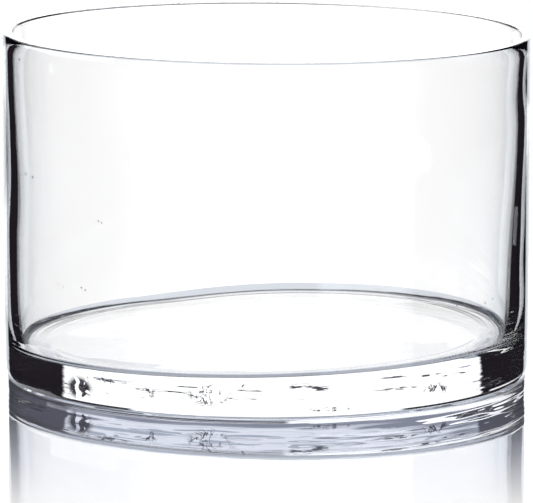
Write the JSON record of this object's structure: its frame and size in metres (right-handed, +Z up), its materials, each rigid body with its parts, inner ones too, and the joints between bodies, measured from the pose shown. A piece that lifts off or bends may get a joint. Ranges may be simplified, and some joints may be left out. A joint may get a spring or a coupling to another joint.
{
  "type": "glass cylinder vase",
  "caption": "Low, wide cylinder vase of clear blown glass with a thick base, a rounded heel and a flat ground rim, to hold cut flowers, water or a candle.",
  "frame": {"origin": "on the vase's axis, at the level of the standing ring that it rests on", "axes": "+Z up along the vase's axis to its open mouth, +X and +Y level and equal by symmetry"},
  "size_m": [0.154, 0.154, 0.1],
  "materials": {
    "clear_glass": "clear, fire-polished, with a ground and polished rim"
  },
  "bodies": {
    "root": {"glass_vase": "clear_glass"}
  },
  "joints": []
}
